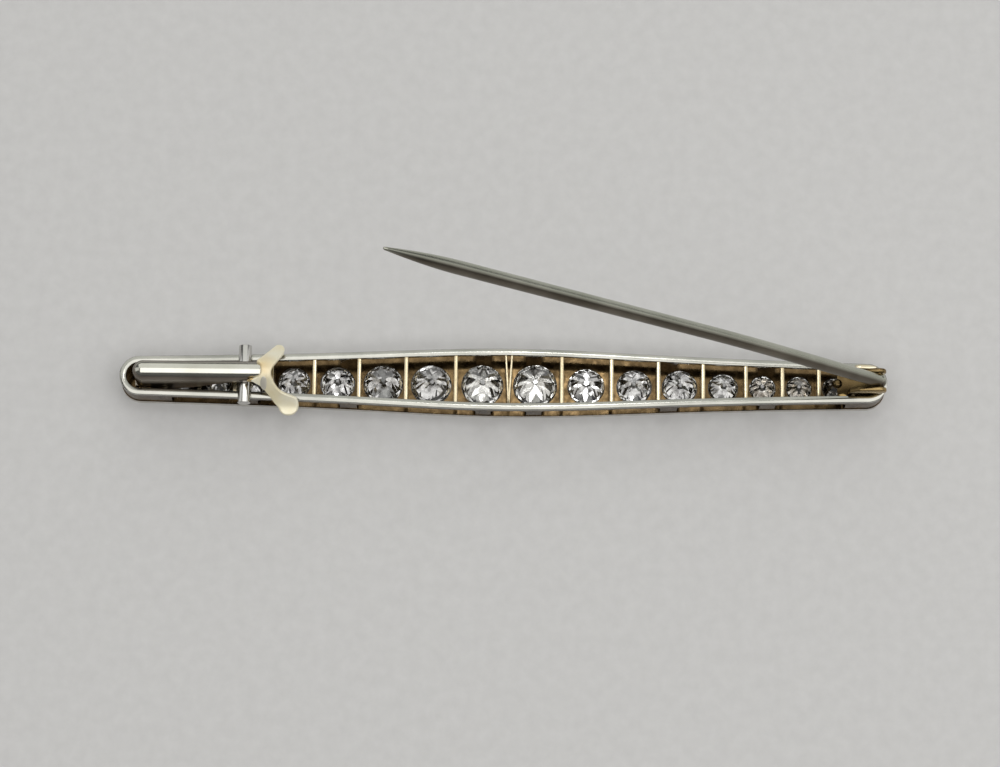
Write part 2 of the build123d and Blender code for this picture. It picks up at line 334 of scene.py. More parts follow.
SHADED_PLATINUM = ((0.13, 0.11, 0.09), (0.21, 0.18, 0.15))
UNSHADED_PLATINUM = ((0.57, 0.56, 0.49), (0.68, 0.67, 0.60))
COVER_METAL = metal_with_painted_shade("cover_platinum", SHADED_PLATINUM, UNSHADED_PLATINUM, "Z", 4.98, 5.14)
POLISHED = metal("polished_platinum", (0.57, 0.56, 0.49), (0.68, 0.67, 0.60), 0.10, 0.18, ALONG_BAR, 0.01)
CROSS_BAR = metal("cross_bar_platinum", (0.56, 0.55, 0.52), (0.66, 0.65, 0.62), 0.08, 0.16, ACROSS_BAR, 0.01)
RIM = metal("rim_platinum", (0.36, 0.36, 0.325), (0.50, 0.495, 0.45), 0.10, 0.23, ALONG_BAR, 0.02)
GOLD = metal("yellow_gold", (0.46, 0.32, 0.13), (0.72, 0.54, 0.27), 0.12, 0.26)
RUBBED_GOLD = metal("rubbed_gold", (0.66, 0.58, 0.42), (0.92, 0.90, 0.82), 0.10, 0.20)
HINGE_GOLD = metal("hinge_gold", (0.075, 0.050, 0.022), (0.36, 0.26, 0.12), 0.16, 0.30)
STRIP_GOLD = metal("strip_gold", (0.46, 0.38, 0.24), (0.70, 0.62, 0.45), 0.14, 0.28, ACROSS_BAR, 0.03)
# Painted light and shade: the pin is dark and brownish on its near side, below -0.26 mm across it, and light
# on its far side, above 0.1 mm.
SHADED_PIN = ((0.10, 0.085, 0.065), (0.17, 0.15, 0.12))
UNSHADED_PIN = ((0.44, 0.455, 0.38), (0.54, 0.55, 0.47))
PIN_METAL = metal_with_painted_shade("pin_metal", SHADED_PIN, UNSHADED_PIN, "Y", -0.26, 0.1, 0.34, 0.24)
SPRING = metal("spring_metal", (0.30, 0.27, 0.22), (0.44, 0.40, 0.33), 0.22, 0.4, ALONG_BAR)
FRONT_PLATINUM = metal("front_platinum", (0.70, 0.69, 0.66), (0.84, 0.83, 0.80), 0.10, 0.22)
GREY_SOLDER = metal("grey_solder", (0.50, 0.475, 0.395), (0.68, 0.65, 0.56), 0.36, 0.5, metallic=0.5)
# Partly a stain and partly painted shade: the gallery walls are dark brown and darker high up, for the dark
# inside of the cells and the near wall's shadow.
DEEP_WALL = ((0.070, 0.046, 0.022), (0.150, 0.102, 0.050))
UPPER_WALL = ((0.026, 0.017, 0.008), (0.140, 0.097, 0.045))
GALLERY = stained_and_shaded("gallery_gold", DEEP_WALL, UPPER_WALL, 1.0, 2.6, 0.18, 0.34)
# The plate's face is pale platinum and its inside dark brown gold; the darkness of the inside is partly
# painted shade of the cells.
PLATE_FACE = ((0.62, 0.60, 0.55), (0.78, 0.76, 0.71))
PLATE_INSIDE = ((0.040, 0.026, 0.012), (0.095, 0.064, 0.030))
PLATE = stained_and_shaded("plate_metal", PLATE_FACE, PLATE_INSIDE, 0.50, 0.58, 0.10, 0.26)

CLEAR_STONE = ((0.90, 0.90, 0.885), (0.97, 0.97, 0.96))
STONE_FRONT_TOP = 0.55  # the height up to which a stone is clear
STONE_BACK_START = 0.85


def diamond_material(name, dark, light, blur):
    """Old diamond: clear on its face and tinted grey in patches on its back, as painted shade for its dark
    facets, with a little blur where it is hazy.
    """
    shader = Shader(name)
    shader.set(Transmission_Weight=1.0, IOR=2.417, Roughness=blur)
    tint = shader.ramp(shader.noise(1300, detail=1), [(0.38, dark), (0.60, light)])
    clear = shader.ramp(shader.noise(400, detail=1), [(0.3, CLEAR_STONE[0]), (0.7, CLEAR_STONE[1])])
    rise = shader.spread(shader.place("Z"), 0, 1, STONE_FRONT_TOP * MM, STONE_BACK_START * MM)
    shader.link(shader.mix(rise, clear, tint), "Base Color")
    return shader.material


# The grey tints on the stones' backs are painted shade, darkest on the last three stones on the right.
DIAMOND = diamond_material("diamond", (0.15, 0.148, 0.145), (0.68, 0.675, 0.665), 0.025)
SOFT_DIAMOND = diamond_material("soft_diamond", (0.44, 0.435, 0.415), (0.62, 0.615, 0.59), 0.08)
DARK_TINTED_DIAMOND = diamond_material("dark_tinted_diamond", (0.12, 0.105, 0.085), (0.46, 0.43, 0.385), 0.04)


# Painted shade: around this spot, at the plate's root by the cover's mouth, the pale gold is darker and
# redder.
ROOT_SHADE_SPOT = (-20.1, 0.35, 5.4)
ROOT_SHADE_REACH = 1.5


def pale_gold_with_painted_shade():
    """Pale gold, darker and redder near its root at the cover's mouth as painted shade, and paler away from
    it.
    """
    shader = Shader("pale_gold")
    shader.set(Metallic=0.3)
    drift = shader.noise(420, detail=4)
    pale = shader.ramp(drift, [(0.3, (0.88, 0.79, 0.53)), (0.7, (0.97, 0.93, 0.76))])
    root_shade = shader.ramp(drift, [(0.35, (0.70, 0.47, 0.20)), (0.65, (0.86, 0.71, 0.42))])
    shader.link(shader.mix(shader.nearness(ROOT_SHADE_SPOT, ROOT_SHADE_REACH), pale, root_shade), "Base Color")
    wear = shader.noise(1300, detail=5)
    shader.link(shader.spread(wear, 0.32, 0.50), "Roughness")
    shader.bump(shader.noise(4200, detail=3), 0.06)
    return shader.material


PALE_GOLD = pale_gold_with_painted_shade()

# ---------------------------------------------------------------- materials on the CAD nodes
SLOT_MATERIALS = {
    "polished_platinum": POLISHED,
    "platinum_frame": RIM,
    "yellow_gold": GOLD,
    "pale_gold": PALE_GOLD,
    "pin_metal": PIN_METAL,
    "spring_steel": SPRING,
    "diamond": DIAMOND,
}
NODE_MATERIALS = {
    "hinge_plate": HINGE_GOLD,
    "gallery_wall": GALLERY,
    "front_plate": PLATE,
    "cover_lug_far": GALLERY,
    "cover_lug_near": GALLERY,
}
for subpart in frame["record"]["subparts"]:
    node = nodes[subpart["node"]]
    material = NODE_MATERIALS.get(subpart["node"], SLOT_MATERIALS[subpart["material_slot"]])
    for slot_index in range(len(node.material_slots)):
        node.material_slots[slot_index].material = material

# ---------------------------------------------------------------- outline of the bar
plate_mesh = BVHTree.FromPolygons(
    [vert.co / MM for vert in nodes["front_plate"].data.vertices],
    [polygon.vertices for polygon in nodes["front_plate"].data.polygons],
)
plate_high = corners("front_plate")[1]
END_RADIUS = 1.65
PROBE_Z = 0.3
FAR_AWAY = 20
SIDE_STEPS = 160
END_STEPS = 24


def edge_point(x, side):
    """The bar's outer edge at x, on one side."""
    hit = plate_mesh.ray_cast(Vector((x, side * FAR_AWAY, PROBE_Z)), Vector((0, -side, 0)))[0]
    return Vector((hit.x, hit.y))


def inset_line(inset):
    """A closed line, an even distance inside the bar's outer edge."""
    end_x = plate_high.x - END_RADIUS
    reach = END_RADIUS - inset
    line = []
    for side in (1, -1):
        for step in range(SIDE_STEPS):
            x = side * between(-end_x, end_x, step / SIDE_STEPS)
            line.append(edge_point(x, side) - Vector((0, side * inset)))
        for step in range(END_STEPS):
            angle = side * math.pi / 2 - math.pi * step / END_STEPS
            line.append(Vector((side * end_x + reach * math.cos(angle), reach * math.sin(angle))))
    return line


def even_steps(line, step_length, closed=True):
    """Points an even distance apart along a line."""
    points = []
    carried = 0.0
    ends = line[1:] + line[:1] if closed else line[1:]
    for start, end in zip(line, ends):
        length = (end - start).length
        while carried < length:
            points.append(start.lerp(end, carried / length))
            carried += step_length
        carried -= length
    return points


# ---------------------------------------------------------------- rim around the open back
rim_low, rim_high = corners("back_rim")
RIM_WIDTH = 0.56
RIM_CROWN = 0.055  # how much the rim's rounded top rises between its edges
RIM_CORNER = 0.11
RIM_TOP_STEPS = 9

outer_line = inset_line(0)
rim_profile = [(0, rim_low.z)]
for step in range(RIM_TOP_STEPS):
    across = between(0, 1, step / (RIM_TOP_STEPS - 1))
    rim_profile.append((across * RIM_WIDTH, rim_high.z - RIM_CROWN * (2 * across - 1) ** 2))
rim_profile.append((RIM_WIDTH, rim_low.z))
rim_profile = softened(rim_profile, RIM_CORNER, steps=3)
rings = []
for index, point in enumerate(outer_line):
    along = outer_line[(index + 1) % len(outer_line)] - outer_line[index - 1]
    inward = Vector((along.y, -along.x)).normalized()
    rings.append([Vector((*(point + inward * across), z)) for across, z in rim_profile])
rim = crisp(loft("rim_band", rings, closed=True), 40)
dress(rim, RIM, "frame", "platinum_frame", "back_rim")

# ---------------------------------------------------------------- stones
FACETS = 8
GIRDLE_SHARE = 0.29  # of a stone's depth, from its table
LEVEL_TILT = (0.6, 0.5)  # degrees about X and Y
UNEVEN_TILT = 4


def old_cut(name, node, chooser, level):
    """An old-cut diamond, point up, with a small table, a deep pavilion and an open culet, on its node.

    Old stones were cut by eye, so the chooser varies their shares and sets them slightly out of level.
    """
    squareness = chooser.uniform(0.0, 0.035)
    turn = chooser.uniform(0, math.pi / 2)
    tilt = LEVEL_TILT if level else [chooser.uniform(-UNEVEN_TILT, UNEVEN_TILT) for _ in "XY"]
    low, high = corners(node)
    centre = (low + high) / 2
    radius = (high.x - low.x) / 2 / (1 + squareness)
    depth = high.z - low.z
    girdle = low.z + depth * GIRDLE_SHARE
    edge = 0.02 * radius
    table_radius = chooser.uniform(0.44, 0.56) * radius
    star_radius = chooser.uniform(0.70, 0.78) * radius
    lower_radius = chooser.uniform(0.40, 0.58) * radius
    culet_radius = chooser.uniform(0.09, 0.15) * radius
    hips = [chooser.uniform(-0.08, 0.08) for _ in range(FACETS)]
    lean = math.cos(math.pi / FACETS)
    crown_slope = (girdle - edge - low.z) / (radius - table_radius)
    pavilion_slope = (high.z - girdle - edge) / (radius - culet_radius * lean)
    bm = bmesh.new()

    def ring(ring_radius, z, count=FACETS, offset=0.0, uneven=0.0):
        verts = []
        for index in range(count):
            swing = uneven * hips[index % FACETS]
            angle = (index * FACETS / count + offset + swing) * 2 * math.pi / FACETS
            reach = ring_radius * (1 + squareness * math.cos(4 * angle))
            verts.append(bm.verts.new((reach * math.cos(angle), reach * math.sin(angle), z)))
        return verts

    table = ring(table_radius, low.z)
    stars = ring(star_radius, girdle - edge - (radius - star_radius * lean) * crown_slope, offset=0.5)
    crown_girdle = ring(radius, girdle - edge, count=2 * FACETS)
    base_girdle = ring(radius, girdle + edge, count=2 * FACETS)
    lower_z = girdle + edge + (radius - lower_radius * lean) * pavilion_slope
    lower = ring(lower_radius, lower_z, offset=0.5, uneven=1.0)
    culet = ring(culet_radius, high.z, offset=0.5)
    bm.faces.new(reversed(table))
    bm.faces.new(culet)
    for index in range(FACETS):
        after = (index + 1) % FACETS
        here, half, there = 2 * index, 2 * index + 1, (2 * index + 2) % (2 * FACETS)
        bm.faces.new((table[index], table[after], stars[index]))
        bm.faces.new((table[index], stars[index], crown_girdle[here], stars[index - 1]))
        bm.faces.new((stars[index], crown_girdle[half], crown_girdle[here]))
        bm.faces.new((stars[index], crown_girdle[there], crown_girdle[half]))
        for first, second in ((here, half), (half, there)):
            crown_side = (crown_girdle[first], crown_girdle[second])
            bm.faces.new((*crown_side, base_girdle[second], base_girdle[first]))
        bm.faces.new((base_girdle[here], base_girdle[half], lower[index]))
        bm.faces.new((base_girdle[half], base_girdle[there], lower[index]))
        bm.faces.new((base_girdle[here], lower[index], culet[index], culet[index - 1], lower[index - 1]))
    bmesh.ops.rotate(bm, verts=bm.verts, cent=(0, 0, 0), matrix=Matrix.Rotation(turn, 3, "Z"))
    for axis, angle in zip("XY", tilt):
        rotation = Matrix.Rotation(math.radians(angle), 3, axis)
        bmesh.ops.rotate(bm, verts=bm.verts, cent=(0, 0, girdle), matrix=rotation)
    bmesh.ops.translate(bm, verts=bm.verts, vec=(centre.x, centre.y, 0))
    return from_bmesh(name, bm, smooth=False)


LEVEL_STONES = ("diamond_right_1", "diamond_right_2")  # the two whose culets catch the lamp
STONE_MATERIALS = {  # the stones that are hazier than the others, and those with darker painted shade in their tint
    "diamond_left_1": SOFT_DIAMOND,
    "diamond_right_1": SOFT_DIAMOND,
    "diamond_right_6": DARK_TINTED_DIAMOND,
    "diamond_right_7": DARK_TINTED_DIAMOND,
    "diamond_right_8": DARK_TINTED_DIAMOND,
}
stone_nodes = sorted(node for node in nodes if node.startswith("diamond_"))
for stone_number, stone_node in enumerate(stone_nodes):
    chooser = random.Random(100 + stone_number)
    stone = old_cut(f"cut_{stone_node}", stone_node, chooser, stone_node in LEVEL_STONES)
    dress(stone, STONE_MATERIALS.get(stone_node, DIAMOND), "frame", "diamond", stone_node)

# ---------------------------------------------------------------- strips between the cells
RIM_OVERHANG = 0.15  # how far the rim stands inside the walls
STRIP_SPREAD = 0.03  # how far each strip's worn faces stand outside its plain ones
STRIP_BEVEL = 0.035
SPLIT_SHARE = 0.34  # half the thickness of each half of the middle strip, as a share of its node's
STRIP_SPLAY = 0.26  # how far the middle strip's two halves stand apart at the far wall


def strip_outline(low, high):
    """A strip's outline across the bar: full width below the rim, and narrower where it passes inside it."""
    if high.z <= rim_low.z:
        return [(low.y, low.z), (high.y, low.z), (high.y, high.z), (low.y, high.z)]
    return [
        (low.y, low.z),
        (high.y, low.z),
        (high.y, rim_low.z),
        (high.y - RIM_OVERHANG, rim_low.z),
        (high.y - RIM_OVERHANG, high.z),
        (low.y + RIM_OVERHANG, high.z),
        (low.y + RIM_OVERHANG, rim_low.z),
        (low.y, rim_low.z),
    ]


for strip_node in sorted(node for node in nodes if node.startswith("cell_bar_")):
    low, high = corners(strip_node)
    bm = bmesh.new()
    if strip_node == "cell_bar_middle":
        x = (low.x + high.x) / 2
        half = (high.x - low.x) * SPLIT_SHARE
        for side in (-1, 1):

            def splayed(y, z, depth, side=side, x=x, low=low, high=high):
                share = (y - low.y) / (high.y - low.y)
                return Vector((x + side * STRIP_SPLAY * share + depth, y, z))

            add_slab(bm, strip_outline(low, high), -half, half, splayed, STRIP_BEVEL)
    else:
        outline = strip_outline(low, high)
        left, right = low.x - STRIP_SPREAD, high.x + STRIP_SPREAD
        add_slab(bm, outline, left, right, lambda y, z, x: Vector((x, y, z)), STRIP_BEVEL)
    dress(crisp(from_bmesh(f"{strip_node}_strip", bm)), STRIP_GOLD, "frame", "yellow_gold", strip_node)

# ---------------------------------------------------------------- pin and hinge
BACK_END = (0.99, 0.95, 0.87, 0.75, 0.6, 0.4, 0.2)  # shares of the radius along the stem's round back end
PIN_TAPER = 7.5  # the length over which the stem narrows to its tip
PIN_TAPER_CURVE = 1.8
PIN_TIP_RADIUS = 0.1
TIP_NOSE = (0.5, 0.85, 1.0)  # shares of the tip's radius along its round nose
TIP_SPARE = 0.05
START_ANGLE = 44.7  # degrees above the bar, before and after the stem's slight bend
END_ANGLE = 41.4
BEND_START = 9.0
BEND_LENGTH = 14.0
STEM_STEP = 0.4
STEM_SIDES = 40
FLATTEST = 0.02  # keeps the last ring of a round end from closing to a point

pin_pivot = pivot("pin_hinge")
stem_low, stem_high = corners("pin_stem")
pin_radius = (stem_high.y - stem_low.y) / 2
pin_length = math.hypot(pin_pivot.x - stem_low.x, stem_high.z - pin_pivot.z) - TIP_SPARE


def stem_angle(distance):
    """The stem's angle above the bar, in radians, at a distance from the pivot."""
    return math.radians(between(START_ANGLE, END_ANGLE, smoothstep((distance - BEND_START) / BEND_LENGTH)))


def stem_radius(distance):
    """The stem's radius at a distance from the pivot."""
    share = min(max((distance - (pin_length - PIN_TAPER)) / PIN_TAPER, 0), 1)
    return between(pin_radius, PIN_TIP_RADIUS, share**PIN_TAPER_CURVE)


def stem_ring(place, angle, radius):
    """A round section of the stem, which points away from the pivot at an angle above the bar."""
    sideways, up = Vector((0, 1, 0)), Vector((math.sin(angle), 0, math.cos(angle)))
    turns = [2 * math.pi * side / STEM_SIDES for side in range(STEM_SIDES)]
    return [place + radius * (math.cos(turn) * sideways + math.sin(turn) * up) for turn in turns]


rings = []
along = Vector((-math.cos(math.radians(START_ANGLE)), 0, math.sin(math.radians(START_ANGLE))))
for share in BACK_END:
    back = pin_pivot - along * share * pin_radius
    rings.append(stem_ring(back, math.radians(START_ANGLE), pin_radius * math.sqrt(1 - share**2)))
place = pin_pivot.copy()
distance = 0.0
while distance < pin_length - PIN_TIP_RADIUS:
    angle = stem_angle(distance)
    along = Vector((-math.cos(angle), 0, math.sin(angle)))
    rings.append(stem_ring(place, angle, stem_radius(distance)))
    place = place + along * STEM_STEP
    distance += STEM_STEP
for nose in TIP_NOSE:
    shrink = math.sqrt(max(1 - nose * nose, FLATTEST))
    centre = place + along * (nose * PIN_TIP_RADIUS - STEM_STEP)
    spokes = [(point - place + along * STEM_STEP).normalized() for point in rings[-1]]
    rings.append([centre + PIN_TIP_RADIUS * shrink * spoke for spoke in spokes])
dress(loft("pin_stem_wire", rings), PIN_METAL, "pin", "pin_metal", "pin_stem")

KNUCKLE_WEAR = 0.05  # how much the knuckle has been filed down to the stem
knuckle_low, knuckle_high = corners("pin_knuckle")
knuckle_radius = (knuckle_high.x - knuckle_low.x) / 2 - KNUCKLE_WEAR
knuckle_half = (knuckle_high.y - knuckle_low.y) / 2
BORE_RADIUS = 0.28
KNUCKLE_STEPS = 20
KNUCKLE_FULLNESS = 0.8  # below 1 the knuckle is fuller than a ball
bore_angle = math.acos(BORE_RADIUS / knuckle_radius)
knuckle_profile = []
for step in range(KNUCKLE_STEPS + 1):
    angle = bore_angle * (2 * step / KNUCKLE_STEPS - 1)
    share = math.copysign(abs(math.sin(angle) / math.sin(bore_angle)) ** KNUCKLE_FULLNESS, angle)
    knuckle_profile.append((knuckle_radius * math.cos(angle), knuckle_half * share))
knuckle = lathe("knuckle_ball", knuckle_profile, pin_pivot, closed=True)
dress(knuckle, PIN_METAL, "pin", "pin_metal", "pin_knuckle")

rivet_low, rivet_high = corners("hinge_rivet")
rivet_head = (rivet_high.x - rivet_low.x) / 2
rivet_half = (rivet_high.y - rivet_low.y) / 2
RIVET_RADIUS = 0.25
RIVET_RIM = 0.04  # the height of a rivet head's upright edge
RIVET_DOME = 0.02
RIVET_FLAT = 0.6  # the flat middle of a rivet head, as a share of its radius
RIVET_ROUNDING = 0.05
ear_outer = corners("hinge_ear_far")[1].y
rivet_profile = [
    (0, -rivet_half),
    (rivet_head * RIVET_FLAT, -rivet_half + RIVET_DOME),
    (rivet_head, -ear_outer - RIVET_RIM),
    (rivet_head, -ear_outer),
    (RIVET_RADIUS, -ear_outer),
    (RIVET_RADIUS, ear_outer),
    (rivet_head, ear_outer),
    (rivet_head, ear_outer + RIVET_RIM),
    (rivet_head * RIVET_FLAT, rivet_half - RIVET_DOME),
    (0, rivet_half),
]
rivet = lathe("hinge_rivet_turned", softened(rivet_profile, RIVET_ROUNDING, closed=False), pin_pivot)
dress(rivet, HINGE_GOLD, "frame", "yellow_gold", "hinge_rivet")


EAR_SWELL = 0.1  # how far the rounded cheeks stand out past their plain sides
EAR_SPARE = 0.01
EAR_FOOT = 0.5  # how far before the pivot the foot ends
EAR_EYE_STEPS = 12
EAR_SHOULDER = Vector((0.85, 1.42))  # from the foot's front corner
EAR_FRONT = Vector((0.1, 0.9))
EAR_ROUNDING = 0.18
EAR_BEVEL = 0.13


def ear_outline(low, high):
    """An ear's side view: a straight foot, a sloping shoulder and a round eye about the pivot."""
    eye = (high.z - pin_pivot.z) - EAR_SPARE
    foot_back = pin_pivot.x - EAR_FOOT
    foot_front = Vector((low.x, low.z))
    points = [foot_front, (foot_back, low.z), (foot_back + 0.05, pin_pivot.z - eye)]
    for step in range(EAR_EYE_STEPS + 1):
        angle = math.radians(-90 + 180 * step / EAR_EYE_STEPS)
        points.append((pin_pivot.x + eye * math.cos(angle), pin_pivot.z + eye * math.sin(angle)))
    points += [foot_front + EAR_SHOULDER, foot_front + EAR_FRONT]
    return softened(points, EAR_ROUNDING, steps=3)


for ear_node in ("hinge_ear_far", "hinge_ear_near"):
    low, high = corners(ear_node)
    bm = bmesh.new()
    inner, outer = (low.y, high.y + EAR_SWELL) if low.y > 0 else (high.y, low.y - EAR_SWELL)
    near, far = sorted((inner, outer))
    add_slab(bm, ear_outline(low, high), near, far, lambda x, z, y: Vector((x, y, z)), EAR_BEVEL)
    dress(crisp(from_bmesh(f"{ear_node}_cheek", bm)), HINGE_GOLD, "frame", "yellow_gold", ear_node)

LOBE_CENTRE = (30.15, 1.06, 4.04)
LOBE_SIZE = (0.95, 0.27, 0.25)
LOBE_TAPER = 0.35  # how much slimmer the lobe is at its back end
LOBE_FULLNESS = 0.8
bm = bmesh.new()
bmesh.ops.create_icosphere(bm, subdivisions=5, radius=1)
for vert in bm.verts:
    slimmer = 1 - LOBE_TAPER * (vert.co.x + 1) / 2
    x, y, z = (math.copysign(abs(value) ** LOBE_FULLNESS, value) for value in vert.co)
    vert.co = Vector((x * LOBE_SIZE[0], y * LOBE_SIZE[1] * slimmer, z * LOBE_SIZE[2] * slimmer))
bmesh.ops.translate(bm, verts=bm.verts, vec=LOBE_CENTRE)
dress(from_bmesh("ear_far_lobe", bm), RUBBED_GOLD, "frame", "yellow_gold")

# ---------------------------------------------------------------- crossing bar of the catch
bar_low, bar_high = corners("cross_bar")
bar_radius = (bar_high.x - bar_low.x) / 2
bar_half = (bar_high.y - bar_low.y) / 2
BAR_DISH = 0.04  # how deep the turned hollow in each end is
BAR_ROUNDING = 0.16
dish_radius = bar_radius * 0.55
dish_edge = bar_radius * 0.72
dish_end = bar_half - BAR_DISH
bar_profile = [(0, -dish_end), (dish_radius, -dish_end), (dish_edge, -bar_half)]
bar_profile += [(bar_radius, -bar_half), (bar_radius, bar_half)]
bar_profile += [(dish_edge, bar_half), (dish_radius, dish_end), (0, dish_end)]
bar_profile = softened(bar_profile, BAR_ROUNDING, closed=False)
cross_bar = lathe("cross_bar_turned", bar_profile, (bar_low + bar_high) / 2, turns=72)
dress(cross_bar, CROSS_BAR, "frame", "polished_platinum", "cross_bar")

# ---------------------------------------------------------------- cover of the catch
cover_low, cover_high = corners("catch_cover")
cover_radius = (cover_high.y - cover_low.y) / 2
cover_axis_z = cover_high.z - cover_radius
dome_x = cover_low.x + cover_radius
COVER_WALL = 0.2
COVER_LIP = 0.2  # how far the worn mouth reaches past its plain end
HEEL_X = -29.6  # where the cover's lower edge is lowest
HEEL_RADIUS = 1.27
SKIRT_END_X = -22.6  # where the lower edge reaches the height that it keeps to the mouth
SKIRT_END_Z = 4.08
SKIRT_CURVE = 1.35
COVER_EDGE = 0.05
COVER_CREASE = 50  # degrees
ROOF_STEPS = 14
SKIRT_STEPS = 8
DOME_STEPS = 32
LENGTH_STEP = 0.3


def skirt_bottom(x):
    """How low the cover's side reaches at x."""
    heel_z = cover_low.z
    if x < HEEL_X:
        across = HEEL_X - x
        return heel_z + HEEL_RADIUS - math.sqrt(max(HEEL_RADIUS**2 - across**2, 0))
    share = min((x - HEEL_X) / (SKIRT_END_X - HEEL_X), 1)
    return between(heel_z, SKIRT_END_Z, share**SKIRT_CURVE)


def cover_column(spine_x, direction):
    """Points from the cover's ridge, over its round roof, and down its straight side to the lower edge."""
    foot = Vector((spine_x, 0, 0)) + cover_radius * direction
    column = []
    for step in range(ROOF_STEPS + 1):
        angle = math.pi / 2 * step / ROOF_STEPS
        reach = Vector((spine_x, 0, cover_axis_z)) + cover_radius * math.sin(angle) * direction
        column.append(reach + Vector((0, 0, cover_radius * math.cos(angle))))
    bottom = skirt_bottom(foot.x)
    for step in range(1, SKIRT_STEPS + 1):
        z = between(cover_axis_z, bottom, step / SKIRT_STEPS)
        column.append(Vector((foot.x, foot.y, z)))
    return column


mouth_x = cover_high.x + COVER_LIP
length_steps = round((mouth_x - dome_x) / LENGTH_STEP)
spine = [between(mouth_x, dome_x, step / length_steps) for step in range(length_steps)]
columns = [cover_column(x, Vector((0, -1, 0))) for x in spine]
for step in range(DOME_STEPS + 1):
    angle = -math.pi / 2 - math.pi * step / DOME_STEPS
    columns.append(cover_column(dome_x, Vector((math.cos(angle), math.sin(angle), 0))))
columns += [cover_column(x, Vector((0, 1, 0))) for x in reversed(spine)]
bm = bmesh.new()
grid = [[bm.verts.new(point) for point in column] for column in columns]
for column, following in zip(grid, grid[1:]):
    for row in range(len(column) - 1):
        bm.faces.new((column[row], column[row + 1], following[row + 1], following[row]))
bmesh.ops.remove_doubles(bm, verts=bm.verts, dist=1e-4)
bmesh.ops.dissolve_degenerate(bm, edges=bm.edges, dist=1e-5)
bmesh.ops.recalc_face_normals(bm, faces=bm.faces)
bmesh.ops.solidify(bm, geom=bm.faces, thickness=COVER_WALL)
cover = crisp(from_bmesh("cover_shell", bm), COVER_CREASE)
edge_rounding = cover.modifiers.new("edge_rounding", "BEVEL")
edge_rounding.width = COVER_EDGE * MM
edge_rounding.segments = 2
edge_rounding.limit_method = "ANGLE"
edge_rounding.angle_limit = math.radians(COVER_CREASE)
dress(cover, COVER_METAL, "cover", "polished_platinum", "catch_cover")

# ---------------------------------------------------------------- thumb piece of the catch
thumb_high = corners("thumb_piece")[1]
DROOP = 2.05  # how much lower the plate's tips are than its crown
DROOP_REACH = 3.2  # how far from the crown the plate is lowest
THUMB_THICK = 0.36
THUMB_EDGE = 0.15  # how far the plate's edges are rounded over
FAR_DISC = ((-18.73, 2.04), 0.47)  # centre and radius of the far arm's round end
NEAR_DISC = ((-17.85, -2.57), 0.86)
LEFT_EDGE = [  # the plate's edge towards the cover, with a corner on each side of the cover's mouth
    (-19.68, 1.60),
    (-20.16, 1.04),
    (-20.48, 0.68),
    (-20.24, 0.45),
    (-20.13, 0.12),
    (-20.13, -0.28),
    (-20.32, -0.55),
    (-20.72, -0.72),
    (-20.98, -0.87),
    (-20.62, -1.03),
    (-20.12, -1.28),
    (-19.60, -1.75),
    (-19.12, -2.30),
]
RIGHT_EDGE = [
    (-18.30, 1.62),
    (-18.48, 1.20),
    (-18.86, 0.55),
    (-19.15, 0.05),
    (-19.23, -0.30),
    (-19.13, -0.75),
    (-18.76, -1.32),
    (-18.36, -1.62),
    (-17.95, -1.79),
    (-17.50, -1.92),
]
CURVE_STEPS = 12
SECTION_STEP = 0.06
TIP_DEPTHS = (0.002, 0.008, 0.02, 0.04, 0.065, 0.095, 0.125)  # sections close to each rounded tip
TIP_SECTIONS = 3  # the even sections that these stand for
EDGE_STEPS = 10
FLAT_STEPS = 12


def thumb_height(y):
    """Middle height of the plate, which bends down evenly on both sides of its crown."""
    turn = math.pi * min(abs(y) / DROOP_REACH, 1)
    return thumb_high.z - THUMB_THICK / 2 - DROOP * (1 - math.cos(turn)) / 2


def thumb_slope(y):
    """The plate's slope at y, as the angle that it turns about X."""
    return math.atan2(thumb_height(y + 0.01) - thumb_height(y - 0.01), 0.02)


def disc_arc(disc, start, end, steps=10):
    """Points round a disc, from one angle in degrees to another."""
    (x, y), radius = disc
    angles = [math.radians(between(start, end, step / steps)) for step in range(steps + 1)]
    return [(x + radius * math.cos(angle), y + radius * math.sin(angle)) for angle in angles]


def smooth_curve(points):
    """Points along a smooth curve through a list of points."""
    result = []
    for index in range(len(points) - 1):
        picks = [Vector(points[min(max(index + shift, 0), len(points) - 1)]) for shift in (-1, 0, 1, 2)]
        a, b, c, d = picks
        for step in range(CURVE_STEPS):
            t = step / CURVE_STEPS
            bend = (2 * a - 5 * b + 4 * c - d) * t**2 + (3 * b - a - 3 * c + d) * t**3
            result.append(0.5 * (2 * b + (c - a) * t + bend))
    result.append(Vector(points[-1]))
    return result


def x_at(curve, y):
    """Where a curve that runs from far to near crosses y."""
    for start, end in zip(curve, curve[1:]):
        if start.y >= y >= end.y and start.y > end.y:
            return between(start.x, end.x, (start.y - y) / (start.y - end.y))
    return curve[-1].x if y < curve[-1].y else curve[0].x


